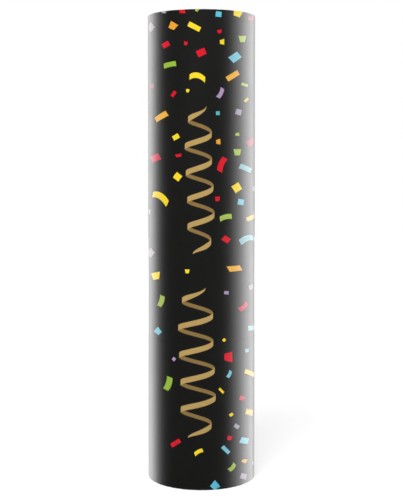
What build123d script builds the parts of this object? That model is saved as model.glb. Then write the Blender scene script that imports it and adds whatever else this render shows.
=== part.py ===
from build123d import *

import os
from math import asin, cos, radians, sin, sqrt

# Twist-fired confetti cannon: a long printed board barrel that turns on a shorter printed grip.
# The grip carries a bottle of compressed air. A latch lever holds the bottle's rubber stopper shut, and the
# lever's tip lies under a sloped catch in the housing that is glued into the barrel. Turning the grip takes
# the tip out from under the catch, the lever swings up, the stopper lifts, and the air drives the wad, the
# paper slips and the muzzle cover out of the barrel.
# Millimetres, +Z up along the tube. The origin is the middle of the foot that the grip stands on.

# Overall sizes
TOTAL_HEIGHT = 200.0
OUTER_DIAMETER = 46.5
GRIP_HEIGHT = 62.0
TWIST_ANGLE = 60.0

# Clearances
TWIST_GAP = 0.15
TURN_CLEARANCE = 0.3
END_CLEARANCE = 0.3
SEAT_GAP = 0.2
PIN_CLEARANCE = 0.06
CUT_OVERRUN = 1.0

# Printed wrap: a sheet rolled round each tube, its two edges meeting at the back
WRAP_THICKNESS = 0.25
WRAP_SEAM = 0.3

# Spiral-wound board tubes
BARREL_WALL = 1.8
SLEEVE_WALL = 1.5
SLEEVE_REACH = 28.0

# Base cap, a moulding pressed into the foot of the grip
CAP_RECESS = 2.5
CAP_FLOOR = 2.0
CAP_LIP_WALL = 1.6
CAP_LIP_SETBACK = 0.6
CAP_RIB_COUNT = 6
CAP_RIB_THICKNESS = 1.6
CAP_RIB_HEIGHT = 6.0
CAP_RIB_SETBACK = 0.3
CAP_BOSS_RADIUS = 4.0
CAP_UNDER_RIB_DEPTH = 1.2
SOCKET_WALL = 1.6
SOCKET_DEPTH = 9.0

# Air bottle, drawn aluminium
PACKING_THICKNESS = 4.4
PACKING_HEIGHT = 18.0
PACKING_PLACE_SHARE = 0.5
BOTTLE_WALL = 1.2
BOTTLE_BODY = 60.0
BOTTLE_SHOULDER = 11.0
BOTTLE_CORNER = 2.5
BOTTLE_DOME = 3.0
NECK_RADIUS = 7.5
NECK_LENGTH = 8.0
NECK_BEAD_STEP = 1.1
NECK_BEAD_HEIGHT = 3.0
MOUTH_RADIUS = 4.5

# Neck collar, a moulding clipped under the neck bead
COLLAR_HUB_WALL = 3.5
COLLAR_FLANGE = 2.5
EAR_GAP = 0.5
EAR_HALF_WIDTH = 2.6
EAR_THICKNESS = 1.8
STOP_DEPTH = 2.2
STOP_RIB_ANGLE = 10.0
STOP_RIB_PLACE = 120.0
STOP_PLAY_ANGLE = 1.5

# Stopper and its sealing ring
STEM_LENGTH = 6.5
STEM_CLEARANCE = 0.15
STOPPER_HEAD_SETBACK = 0.6
STOPPER_HEAD = 2.2
STOPPER_BUTTON_RADIUS = 2.4
STOPPER_BUTTON = 2.0
STOPPER_EDGE = 0.6
SEAL_SECTION_RADIUS = 0.85
SEAL_CLEARANCE = 0.05
SEAL_PLACE_SHARE = 0.5

# Latch lever and its pin
LEVER_SWING = 60.0
LEVER_HALF_WIDTH = 3.0
LEVER_TIP_HALF_WIDTH = 1.5
LEVER_TIP_SETBACK = 0.7
LEVER_THICKNESS = 3.2
LEVER_NOSE = 1.0
LEVER_NOSE_RADIUS = 2.2
LEVER_SIDE_GAP = 0.3
LEVER_EDGE = 0.4
PIN_RADIUS = 1.25
PIN_EDGE = 0.25

# Valve housing, a moulding glued into the barrel, and the ring that keeps the collar in it
HOUSING_WALL = 1.6
HOUSING_TOP = 2.5
HOUSING_HEADROOM = 1.5
VENT_COUNT = 6
VENT_RADIUS = 3.5
VENT_PLACE_SHARE = 0.62
CATCH_ENGAGEMENT = 3.0
CATCH_GAP = 0.3
CATCH_TOP = 1.5
RING_THICKNESS = 2.4
RING_HUB_GAP = 1.0

# Wad: a pressed card cup that catches the air, under a board disc
WAD_CUP_HEIGHT = 8.0
WAD_CUP_WALL = 1.0
WAD_CUP_CORNER = 1.5
WAD_DISC = 1.6
WAD_DISC_SETBACK = 0.4

# Paper slips, packed upright in six stacks of one colour each
CHARGE_CLEARANCE = 0.6
SLIP_WIDTH_SHARE = 0.92
STACK_GAP = 0.4
PACK_THICKNESS = 1.8
PACK_GAP = 0.06
SLIP_STAGGER = 0.9

# Muzzle cover, a pressed cup of foil-faced card
COVER_RECESS = 7.0
COVER_THICKNESS = 0.8
COVER_SKIRT = 0.5
COVER_LIP_SETBACK = 1.0
COVER_BEAD_RADIUS = 13.0
COVER_BEAD_WIDTH = 2.4
COVER_BEAD_RISE = 0.5

# Radii, from the outside in
outer_radius = OUTER_DIAMETER / 2
tube_radius = outer_radius - WRAP_THICKNESS
bore_radius = tube_radius - BARREL_WALL
sleeve_radius = bore_radius - TURN_CLEARANCE
sleeve_bore = sleeve_radius - SLEEVE_WALL
bottle_radius = sleeve_bore - PACKING_THICKNESS
skirt_radius = sleeve_bore - TURN_CLEARANCE
skirt_bore = skirt_radius - HOUSING_WALL
chamber_radius = bore_radius - HOUSING_WALL
flange_radius = skirt_bore - TURN_CLEARANCE
bead_radius = NECK_RADIUS + NECK_BEAD_STEP
hub_radius = NECK_RADIUS + COLLAR_HUB_WALL
ring_bore = hub_radius + RING_HUB_GAP

# Heights, from the foot up
cap_top = CAP_RECESS + CAP_FLOOR
shoulder_low = cap_top + BOTTLE_BODY
neck_low = shoulder_low + BOTTLE_SHOULDER
flange_top = neck_low + NECK_LENGTH
flange_low = flange_top - COLLAR_FLANGE
mouth_height = flange_top + NECK_BEAD_HEIGHT
ring_top = flange_low - END_CLEARANCE
ring_low = ring_top - RING_THICKNESS
barrel_low = GRIP_HEIGHT + TWIST_GAP
sleeve_top = GRIP_HEIGHT + SLEEVE_REACH
housing_shoulder = sleeve_top + END_CLEARANCE
head_low = mouth_height + SEAT_GAP
button_top = head_low + STOPPER_HEAD + STOPPER_BUTTON
lever_low = button_top + SEAT_GAP + LEVER_NOSE
lever_top = lever_low + LEVER_THICKNESS
pivot_height = lever_low + LEVER_THICKNESS / 2

# Lever: its pivot stands clear of the neck bead, and its tip stops short of the housing's skirt
pivot_offset = bead_radius + EAR_GAP + EAR_HALF_WIDTH
tip_radius = skirt_bore - LEVER_TIP_SETBACK
lever_reach = tip_radius + pivot_offset
swing = radians(LEVER_SWING)
swing_height = lever_reach * sin(swing) + LEVER_THICKNESS / 2 * cos(swing)

# Catch: its underside rises as fast as the tip does while the tip is still under it
catch_bore = tip_radius - CATCH_ENGAGEMENT
catch_low = lever_top + CATCH_GAP
release_turn = asin((2 * LEVER_TIP_HALF_WIDTH + CATCH_GAP) / catch_bore)
catch_rise = lever_reach * sin(release_turn * LEVER_SWING / TWIST_ANGLE)
catch_top = catch_low + catch_rise + CATCH_TOP

# Housing top, wad, slips and cover
chamber_low = max(housing_shoulder, catch_top) + HOUSING_WALL
ceiling = pivot_height + swing_height + HOUSING_HEADROOM
housing_top = ceiling + HOUSING_TOP
wad_low = housing_top + END_CLEARANCE
wad_middle = wad_low + WAD_CUP_HEIGHT
wad_top = wad_middle + WAD_DISC
cover_top = TOTAL_HEIGHT - COVER_RECESS
cover_low = cover_top - COVER_THICKNESS
cover_radius = bore_radius - TURN_CLEARANCE
slip_low = wad_top + END_CLEARANCE
slip_length = cover_low - END_CLEARANCE - slip_low

os.makedirs("parts", exist_ok=True)


def write(piece, name):
    """Labels a finished piece and writes its STEP file."""
    piece.part.label = name
    export_step(piece.part, f"parts/{name}.step")


def tube(outer, inner, low, high):
    """A plain tube between two heights."""
    with BuildPart() as made:
        with BuildSketch(Plane.XY.offset(low)):
            Circle(outer)
            Circle(inner, mode=Mode.SUBTRACT)
        extrude(amount=high - low)
    return made


def wrap(low, high):
    """A printed sheet rolled round a tube, open along its seam at the back."""
    with BuildPart() as made:
        with BuildSketch(Plane.XY.offset(low)):
            Circle(outer_radius)
            Circle(tube_radius, mode=Mode.SUBTRACT)
            with Locations((0, tube_radius)):
                Rectangle(WRAP_SEAM, 2 * CUT_OVERRUN, mode=Mode.SUBTRACT)
        extrude(amount=high - low)
    return made


def ring_sector(inner, outer, start, sweep):
    """A face between two radii, swept from a start angle. It is used inside a sketch's block."""
    with BuildLine() as outline:
        low_arc = CenterArc((0, 0), inner, start, sweep)
        high_arc = CenterArc((0, 0), outer, start, sweep)
        Line(low_arc @ 0, high_arc @ 0)
        Line(low_arc @ 1, high_arc @ 1)
    make_face(outline.edges())


def slip_stack(x_middle, y_low, y_high):
    """One colour's stack of upright slips, as packs that lie against each other in Y."""
    count = max(1, round((y_high - y_low) / PACK_THICKNESS))
    pitch = (y_high - y_low) / count
    with BuildPart() as made:
        for number in range(count):
            y_middle = y_low + pitch * (number + 1 / 2)
            length = slip_length - SLIP_STAGGER * (number % 2)
            with BuildSketch(Plane.XY.offset(slip_low)):
                with Locations((x_middle, y_middle)):
                    Rectangle(slip_width, pitch - PACK_GAP)
            extrude(amount=length)
    return made


# Barrel and grip: board tubes, printed wraps and the sleeve that the barrel turns on
write(tube(tube_radius, bore_radius, barrel_low, TOTAL_HEIGHT), "barrel_tube")
write(wrap(barrel_low, TOTAL_HEIGHT), "barrel_wrap")
write(tube(tube_radius, sleeve_radius, 0, GRIP_HEIGHT), "grip_tube")
write(wrap(0, GRIP_HEIGHT), "grip_wrap")
write(tube(sleeve_radius, sleeve_bore, cap_top, sleeve_top), "inner_sleeve")

# Base cap: a floor and lip in the grip's foot, and a ribbed socket for the bottle
socket_radius = bottle_radius + SOCKET_WALL
rib_inner = bottle_radius + SOCKET_WALL / 2
rib_outer = sleeve_bore - CAP_RIB_SETBACK
lip_bore = sleeve_radius - CAP_LIP_WALL
with BuildPart() as base_cap:
    with BuildSketch(Plane.XY.offset(CAP_RECESS)):
        Circle(sleeve_radius)
    extrude(amount=CAP_FLOOR)
    with BuildSketch(Plane.XY.offset(CAP_LIP_SETBACK)):
        Circle(sleeve_radius)
        Circle(lip_bore, mode=Mode.SUBTRACT)
    extrude(amount=CAP_RECESS - CAP_LIP_SETBACK)
    with BuildSketch(Plane.XY.offset(CAP_RECESS - CAP_UNDER_RIB_DEPTH)):
        Circle(CAP_BOSS_RADIUS)
        with PolarLocations(lip_bore / 2, CAP_RIB_COUNT):
            Rectangle(lip_bore, CAP_RIB_THICKNESS)
    extrude(amount=CAP_UNDER_RIB_DEPTH)
    with BuildSketch(Plane.XY.offset(cap_top)):
        Circle(socket_radius)
        Circle(bottle_radius, mode=Mode.SUBTRACT)
    extrude(amount=SOCKET_DEPTH)
    with BuildSketch(Plane.XY.offset(cap_top)):
        with PolarLocations((rib_inner + rib_outer) / 2, CAP_RIB_COUNT):
            Rectangle(rib_outer - rib_inner, CAP_RIB_THICKNESS)
    extrude(amount=CAP_RIB_HEIGHT)
write(base_cap, "base_cap")

# Air bottle: a hollow body with a domed foot, drawn in to a neck with a bead under its mouth
shell_radius = bottle_radius - BOTTLE_WALL
foot_radius = bottle_radius - BOTTLE_CORNER
shell_foot = foot_radius - BOTTLE_WALL
neck_bore_low = neck_low - BOTTLE_WALL
shell_shoulder = shoulder_low - BOTTLE_WALL
shell_low = cap_top + BOTTLE_WALL
with BuildPart() as air_bottle:
    with BuildSketch(Plane.XZ):
        with BuildLine():
            dome = TangentArc((0, cap_top + BOTTLE_DOME), (foot_radius, cap_top), tangent=(1, 0))
            corner = TangentArc(
                dome @ 1,
                (bottle_radius, cap_top + BOTTLE_CORNER),
                tangent=(1, 0),
            )
            body = Line(corner @ 1, (bottle_radius, shoulder_low))
            shoulder = TangentArc(
                body @ 1,
                ((bottle_radius + NECK_RADIUS) / 2, shoulder_low + BOTTLE_SHOULDER / 2),
                tangent=(0, 1),
            )
            throat = TangentArc(
                shoulder @ 1,
                (NECK_RADIUS, neck_low),
                tangent=shoulder % 1,
            )
            Polyline(
                throat @ 1,
                (NECK_RADIUS, flange_top),
                (bead_radius, flange_top),
                (bead_radius, mouth_height),
                (0, mouth_height),
                dome @ 0,
            )
        make_face()
    revolve(axis=Axis.Z)
    with BuildSketch(Plane.XZ):
        with BuildLine():
            mouth = Line((MOUTH_RADIUS, mouth_height), (MOUTH_RADIUS, neck_bore_low))
            flare = TangentArc(
                mouth @ 1,
                ((MOUTH_RADIUS + shell_radius) / 2, (neck_bore_low + shell_shoulder) / 2),
                tangent=(0, -1),
            )
            shell_top = TangentArc(flare @ 1, (shell_radius, shell_shoulder), tangent=flare % 1)
            Polyline(
                shell_top @ 1,
                (shell_radius, shell_low + BOTTLE_CORNER),
                (shell_foot, shell_low + BOTTLE_DOME / 2),
                (0, shell_low + BOTTLE_DOME),
                (0, mouth_height),
                mouth @ 0,
            )
        make_face()
    revolve(axis=Axis.Z, mode=Mode.SUBTRACT)
write(air_bottle, "air_bottle")

# Packing ring: a roll of card that holds the bottle upright in the sleeve
packing_low = cap_top + BOTTLE_BODY * PACKING_PLACE_SHARE
write(tube(sleeve_bore, bottle_radius, packing_low, packing_low + PACKING_HEIGHT), "packing_ring")

# Neck collar: a hub under the bead, a flange that turns in the housing, and two ears for the lever's pin
ear_inner = LEVER_HALF_WIDTH + LEVER_SIDE_GAP
ear_outer = ear_inner + EAR_THICKNESS
ear_height = pivot_height - flange_top
stop_floor = flange_radius - STOP_DEPTH
stop_sweep = TWIST_ANGLE + STOP_RIB_ANGLE + 2 * STOP_PLAY_ANGLE
stop_start = STOP_RIB_PLACE + STOP_RIB_ANGLE / 2 + STOP_PLAY_ANGLE - stop_sweep
with BuildPart() as neck_collar:
    with BuildSketch(Plane.XY.offset(neck_low)):
        Circle(hub_radius)
    extrude(amount=flange_top - neck_low)
    with BuildSketch(Plane.XY.offset(flange_low)):
        Circle(flange_radius)
    extrude(amount=COLLAR_FLANGE)
    with BuildSketch(Plane.XY.offset(neck_low)):
        Circle(NECK_RADIUS)
    extrude(amount=flange_top - neck_low, mode=Mode.SUBTRACT)
    with BuildSketch(Plane.XY.offset(flange_low)):
        ring_sector(stop_floor, flange_radius + CUT_OVERRUN, stop_start, stop_sweep)
    extrude(amount=COLLAR_FLANGE, mode=Mode.SUBTRACT)
    for side in (1, -1):
        with BuildSketch(Plane.XZ.offset(side * ear_outer)):
            with Locations((-pivot_offset, flange_top + ear_height / 2)):
                Rectangle(2 * EAR_HALF_WIDTH, ear_height)
            with Locations((-pivot_offset, pivot_height)):
                Circle(EAR_HALF_WIDTH)
                Circle(PIN_RADIUS, mode=Mode.SUBTRACT)
        extrude(amount=-side * EAR_THICKNESS)
write(neck_collar, "neck_collar")

# Lever pin, held in the collar's ears
with BuildPart() as lever_pin:
    with BuildSketch(Plane.XZ.offset(ear_outer)):
        with Locations((-pivot_offset, pivot_height)):
            Circle(PIN_RADIUS)
    extrude(amount=-2 * ear_outer)
    chamfer(lever_pin.edges().filter_by(GeomType.CIRCLE), length=PIN_EDGE)
write(lever_pin, "lever_pin")

# Latch lever: a bar that narrows to its tip, with a nose that presses on the stopper
with BuildPart() as latch_lever:
    with BuildSketch(Plane.XY.offset(lever_low)):
        with Locations((-pivot_offset, 0)):
            Circle(LEVER_HALF_WIDTH)
        with Locations((tip_radius - LEVER_TIP_HALF_WIDTH, 0)):
            Circle(LEVER_TIP_HALF_WIDTH)
        make_hull()
    extrude(amount=LEVER_THICKNESS)
    chamfer(latch_lever.faces().sort_by(Axis.Z)[-1].edges(), length=LEVER_EDGE)
    with BuildSketch(Plane.XY.offset(lever_low)):
        Circle(LEVER_NOSE_RADIUS)
    extrude(amount=-LEVER_NOSE)
    with BuildSketch(Plane.XZ.offset(ear_outer)):
        with Locations((-pivot_offset, pivot_height)):
            Circle(PIN_RADIUS + PIN_CLEARANCE)
    extrude(amount=-2 * ear_outer, mode=Mode.SUBTRACT)
write(latch_lever, "latch_lever")

# Stopper: a stem in the bottle's mouth, grooved for the sealing ring, under a flat head with a button
stem_radius = MOUTH_RADIUS - STEM_CLEARANCE
seal_ring_radius = MOUTH_RADIUS - SEAL_CLEARANCE - SEAL_SECTION_RADIUS
seal_height = mouth_height - STEM_LENGTH * SEAL_PLACE_SHARE
groove_floor = seal_ring_radius - SEAL_SECTION_RADIUS - SEAL_CLEARANCE
groove_half = SEAL_SECTION_RADIUS + SEAL_CLEARANCE
with BuildPart() as stopper:
    with BuildSketch(Plane.XY.offset(head_low - STEM_LENGTH)):
        Circle(stem_radius)
    extrude(amount=STEM_LENGTH)
    chamfer(stopper.edges().sort_by(Axis.Z)[0], length=STOPPER_EDGE)
    with BuildSketch(Plane.XY.offset(head_low)):
        Circle(bead_radius - STOPPER_HEAD_SETBACK)
    extrude(amount=STOPPER_HEAD)
    fillet(stopper.edges().sort_by(Axis.Z)[-1], radius=STOPPER_EDGE)
    with BuildSketch(Plane.XY.offset(head_low + STOPPER_HEAD)):
        Circle(STOPPER_BUTTON_RADIUS)
    extrude(amount=STOPPER_BUTTON)
    fillet(stopper.edges().sort_by(Axis.Z)[-1], radius=STOPPER_EDGE)
    with BuildSketch(Plane.XY.offset(seal_height - groove_half)):
        Circle(stem_radius + CUT_OVERRUN)
        Circle(groove_floor, mode=Mode.SUBTRACT)
    extrude(amount=2 * groove_half, mode=Mode.SUBTRACT)
write(stopper, "stopper")

with BuildPart() as seal_ring:
    with BuildSketch(Plane.XZ):
        with Locations((seal_ring_radius, seal_height)):
            Circle(SEAL_SECTION_RADIUS)
    revolve(axis=Axis.Z)
write(seal_ring, "seal_ring")

# Valve housing: a skirt round the collar's flange, a chamber for the lever, and a vented top
with BuildPart() as valve_housing:
    with BuildSketch(Plane.XZ):
        with BuildLine():
            Polyline(
                (skirt_bore, ring_low),
                (skirt_radius, ring_low),
                (skirt_radius, housing_shoulder),
                (bore_radius, housing_shoulder),
                (bore_radius, housing_top),
                (0, housing_top),
                (0, ceiling),
                (chamber_radius, ceiling),
                (chamber_radius, chamber_low),
                (skirt_bore, chamber_low),
                close=True,
            )
        make_face()
    revolve(axis=Axis.Z)
    with BuildSketch(Plane.XY.offset(ceiling)):
        with PolarLocations(chamber_radius * VENT_PLACE_SHARE, VENT_COUNT):
            Circle(VENT_RADIUS)
    extrude(amount=HOUSING_TOP, mode=Mode.SUBTRACT)
    with BuildSketch(Plane.YZ.offset(catch_bore)):
        with BuildLine():
            Polyline(
                (-LEVER_TIP_HALF_WIDTH, catch_low),
                (LEVER_TIP_HALF_WIDTH, catch_low + catch_rise),
                (LEVER_TIP_HALF_WIDTH, catch_top),
                (-LEVER_TIP_HALF_WIDTH, catch_top),
                close=True,
            )
        make_face()
    extrude(amount=skirt_bore + HOUSING_WALL / 2 - catch_bore)
    with BuildSketch(Plane.XY.offset(flange_low)):
        ring_sector(
            stop_floor + TURN_CLEARANCE,
            skirt_bore + HOUSING_WALL / 2,
            STOP_RIB_PLACE - STOP_RIB_ANGLE / 2,
            STOP_RIB_ANGLE,
        )
    extrude(amount=COLLAR_FLANGE)
write(valve_housing, "valve_housing")

# Retaining ring, glued into the skirt under the collar's flange
write(tube(skirt_bore, ring_bore, ring_low, ring_top), "retaining_ring")

# Wad: a card cup, open downwards, and the board disc on it that carries the slips
with BuildPart() as wad_cup:
    with BuildSketch(Plane.XY.offset(wad_low)):
        Circle(cover_radius)
    extrude(amount=WAD_CUP_HEIGHT)
    fillet(wad_cup.edges().sort_by(Axis.Z)[-1], radius=WAD_CUP_CORNER)
    with BuildSketch(Plane.XY.offset(wad_low)):
        Circle(cover_radius - WAD_CUP_WALL)
    extrude(amount=WAD_CUP_HEIGHT - WAD_CUP_WALL, mode=Mode.SUBTRACT)
write(wad_cup, "wad_cup")

with BuildPart() as wad_disc:
    with BuildSketch(Plane.XY.offset(wad_middle)):
        Circle(cover_radius - WAD_DISC_SETBACK)
    extrude(amount=WAD_DISC)
write(wad_disc, "wad_disc")

# Paper slips: two pairs of stacks side by side in the middle, and one stack in front of and behind them
charge_radius = bore_radius - CHARGE_CLEARANCE
slip_width = charge_radius * SLIP_WIDTH_SHARE
column_middle = (slip_width + STACK_GAP) / 2
middle_reach = sqrt(charge_radius**2 - (slip_width + STACK_GAP / 2) ** 2)
end_low = middle_reach + STACK_GAP
end_high = sqrt(charge_radius**2 - (slip_width / 2) ** 2)
row_low = STACK_GAP / 2
STACKS = {
    "slips_red": (-column_middle, -middle_reach, -row_low),
    "slips_yellow": (column_middle, -middle_reach, -row_low),
    "slips_blue": (-column_middle, row_low, middle_reach),
    "slips_green": (column_middle, row_low, middle_reach),
    "slips_orange": (0, -end_high, -end_low),
    "slips_lilac": (0, end_low, end_high),
}
for stack_name, place in STACKS.items():
    write(slip_stack(*place), stack_name)

# Muzzle cover: a shallow cup whose skirt stands up along the bore, stiffened by a pressed bead
with BuildPart() as muzzle_cover:
    with BuildSketch(Plane.XY.offset(cover_low)):
        Circle(cover_radius)
    extrude(amount=COVER_THICKNESS)
    with BuildSketch(Plane.XY.offset(cover_top)):
        Circle(cover_radius)
        Circle(cover_radius - COVER_SKIRT, mode=Mode.SUBTRACT)
    extrude(amount=COVER_RECESS - COVER_LIP_SETBACK)
    with BuildSketch(Plane.XY.offset(cover_top)):
        Circle(COVER_BEAD_RADIUS + COVER_BEAD_WIDTH / 2)
        Circle(COVER_BEAD_RADIUS - COVER_BEAD_WIDTH / 2, mode=Mode.SUBTRACT)
    extrude(amount=COVER_BEAD_RISE)
write(muzzle_cover, "muzzle_cover")
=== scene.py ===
import math
import random

import bpy
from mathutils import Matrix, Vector
from mathutils.geometry import delaunay_2d_cdt


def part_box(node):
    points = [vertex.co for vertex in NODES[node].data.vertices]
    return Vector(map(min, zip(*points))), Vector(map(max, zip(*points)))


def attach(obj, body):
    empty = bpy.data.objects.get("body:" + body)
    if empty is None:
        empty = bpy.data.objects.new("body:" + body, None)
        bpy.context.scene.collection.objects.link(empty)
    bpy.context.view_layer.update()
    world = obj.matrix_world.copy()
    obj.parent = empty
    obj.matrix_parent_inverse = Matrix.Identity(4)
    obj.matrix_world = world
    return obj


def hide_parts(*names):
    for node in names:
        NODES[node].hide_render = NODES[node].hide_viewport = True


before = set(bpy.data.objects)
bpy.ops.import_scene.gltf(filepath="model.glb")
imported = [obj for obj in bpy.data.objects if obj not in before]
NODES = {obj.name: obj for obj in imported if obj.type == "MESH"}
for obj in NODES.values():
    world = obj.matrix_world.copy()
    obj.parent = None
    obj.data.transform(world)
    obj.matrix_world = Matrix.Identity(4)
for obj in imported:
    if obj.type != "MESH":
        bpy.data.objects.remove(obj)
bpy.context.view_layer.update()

# A twist-fired confetti popper, standing on its grip. Metres, in the CAD's frame: +Z up along the tube, and
# the viewer at -Y. Angles round the tube count from the viewer's side, towards the viewer's right.
MM = 0.001
# The print stays this much inside the CAD's wraps, so that it is never larger than they are.
CLEARANCE = 0.01 * MM
TUBE_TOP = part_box("barrel_wrap")[1].z - CLEARANCE
GRIP_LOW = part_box("grip_wrap")[0].z + CLEARANCE
GRIP_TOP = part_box("grip_wrap")[1].z
OUTER_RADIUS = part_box("barrel_wrap")[1].x - CLEARANCE
TUBE_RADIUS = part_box("barrel_tube")[1].x
PAPER_THICKNESS = OUTER_RADIUS - TUBE_RADIUS
# The two wraps meet at the twist joint in a line that is too fine to see from the front.
JOINT_LINE = 0.03 * MM
# Each wrap's own edges meet at the back.
SEAM_GAP = 0.14 * MM


def linear(hex_colour):
    """An sRGB hex colour as linear red, green, blue and alpha."""
    channels = []
    for start in (1, 3, 5):
        value = int(hex_colour[start:start + 2], 16) / 255
        channels.append(value / 12.92 if value <= 0.04045 else ((value + 0.055) / 1.055) ** 2.4)
    return (*channels, 1.0)


def grain(size_mm):
    """The scale of a texture whose features are that many millimetres apart."""
    return 1 / (size_mm * MM)


def feed(tree, node, sockets):
    """Links or sets a node's input sockets."""
    for name, value in sockets.items():
        if isinstance(value, bpy.types.NodeSocket):
            tree.links.new(value, node.inputs[name])
        else:
            node.inputs[name].default_value = value


def add(tree, kind, sockets=None, **settings):
    """Adds a node, gives it its settings, and links or sets its input sockets."""
    node = tree.nodes.new(kind)
    for name, value in settings.items():
        setattr(node, name, value)
    feed(tree, node, sockets or {})
    return node


def new_material(name):
    """A new node material, its tree, its shader and its Object coordinates."""
    material = bpy.data.materials.new(name)
    material.use_nodes = True
    tree = material.node_tree
    place = add(tree, "ShaderNodeTexCoord").outputs["Object"]
    return material, tree, tree.nodes["Principled BSDF"], place


def alone(piece):
    """Makes a piece the active one and the only one selected."""
    bpy.ops.object.select_all(action="DESELECT")
    bpy.context.view_layer.objects.active = piece
    piece.select_set(True)


# Finishes

# A Mix node's sockets go by number: its factor, its two numbers or two colours, and the mixed colour.
FACTOR = 0
NUMBER_A, NUMBER_B = 2, 3
COLOUR_A, COLOUR_B = 6, 7
MIXED = 2

# The inks of the print. A piece near a side of the tube takes a second tint of its ink, which paints in how
# light falls there: paler tints carry painted sheen, darker ones painted shade, and the greyed ones both.
INKS = {
    "black": linear("#181817"),
    "red": linear("#e00524"),
    "yellow": linear("#fbdb22"),
    "orange": linear("#f0a628"),
    "green": linear("#96bf3a"),
    "blue": linear("#5dc2db"),
    "teal": linear("#55b4ba"),
    "lilac": linear("#ae94be"),
    # Side tints down to the golds: the paler carry painted sheen, the darker painted shade, the greyed both.
    "red_painted_sheen_and_shade": linear("#cf1b43"),
    "red_painted_shade": linear("#a81b47"),
    "yellow_painted_sheen": linear("#ebc444"),
    "orange_painted_sheen": linear("#f2b53d"),
    "green_painted_sheen": linear("#aac453"),
    "blue_painted_sheen": linear("#7ec8da"),
    "teal_painted_sheen": linear("#8cbfc8"),
    "lilac_painted_sheen": linear("#aca0b7"),
    "lilac_painted_sheen_and_shade": linear("#a49ba5"),
    # The streamers' golds.
    "gold": linear("#bb9c5c"),
    "deep_gold": linear("#8d7240"),
}


def film_print():
    """Offset-printed paper under satin polypropylene film. The film gives all inks one gloss, soft
    reflections that whiten towards the sides and a faint orange peel. Paper shows at the rubbed rims."""
    material, tree, shader, place = new_material("satin_film_over_print")
    ink = add(tree, "ShaderNodeAttribute", attribute_name="ink").outputs["Color"]
    mottle = add(tree, "ShaderNodeTexNoise", {"Vector": place, "Scale": grain(2.4), "Detail": 3.0})
    density = add(tree, "ShaderNodeMapRange", {"Value": mottle.outputs["Fac"], "To Min": 0.93,
                                               "To Max": 1.05})
    inked = add(tree, "ShaderNodeMix", {FACTOR: 1.0, COLOUR_A: ink, COLOUR_B: density.outputs[0]},
                data_type="RGBA", blend_type="MULTIPLY")
    rim = add(tree, "ShaderNodeAttribute", attribute_name="rim").outputs["Fac"]
    rub = add(tree, "ShaderNodeTexNoise", {"Vector": place, "Scale": grain(1.1), "Detail": 5.0})
    rubbed = add(tree, "ShaderNodeMath", {0: rim, 1: rub.outputs["Fac"]}, operation="MULTIPLY")
    worn = add(tree, "ShaderNodeMapRange", {"Value": rubbed.outputs[0], "From Min": 0.42, "From Max": 0.62})
    skin = add(tree, "ShaderNodeMix", {FACTOR: worn.outputs[0], COLOUR_A: inked.outputs[MIXED],
                                       COLOUR_B: linear("#cfcac2")}, data_type="RGBA")
    haze = add(tree, "ShaderNodeTexNoise", {"Vector": place, "Scale": grain(9.0), "Detail": 2.0})
    gloss = add(tree, "ShaderNodeMapRange", {"Value": haze.outputs["Fac"], "To Min": 0.28, "To Max": 0.36})
    peel = add(tree, "ShaderNodeTexNoise", {"Vector": place, "Scale": grain(0.9), "Detail": 2.0})
    bump = add(tree, "ShaderNodeBump", {"Height": peel.outputs["Fac"], "Strength": 0.06,
                                        "Distance": 0.05 * MM})
    feed(tree, shader, {"Base Color": skin.outputs[MIXED], "Roughness": gloss.outputs[0],
                        "Normal": bump.outputs[0]})
    return material


def paper_edge():
    """Coated paper seen at its cut edge and from its uncoated back: off-white and matt, with fibres that are
    drawn coarser than they are, so that they show."""
    material, tree, shader, place = new_material("cut_paper")
    fibre = add(tree, "ShaderNodeTexNoise", {"Vector": place, "Scale": grain(0.4), "Detail": 4.0})
    tone = add(tree, "ShaderNodeMix", {FACTOR: fibre.outputs["Fac"], COLOUR_A: linear("#d8d3c8"),
                                       COLOUR_B: linear("#f1eee6")}, data_type="RGBA")
    feed(tree, shader, {"Base Color": tone.outputs[MIXED], "Roughness": 0.85})
    return material


def inked_edge():
    """A cut paper edge blackened with ink, so that no pale line shows at the twist joint: matt, with dark
    grey fibres that are drawn coarser than they are."""
    material, tree, shader, place = new_material("inked_paper_edge")
    fibre = add(tree, "ShaderNodeTexNoise", {"Vector": place, "Scale": grain(0.3), "Detail": 4.0})
    tone = add(tree, "ShaderNodeMix", {FACTOR: fibre.outputs["Fac"], COLOUR_A: linear("#050505"),
                                       COLOUR_B: linear("#151413")}, data_type="RGBA")
    feed(tree, shader, {"Base Color": tone.outputs[MIXED], "Roughness": 0.95, "Specular IOR Level": 0.1})
    return material


# Thickness of a ply of the wound board, and rise of its seam in one turn of the tube, in millimetres
PLY = 0.45
SEAM_RISE = 62.0


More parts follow.
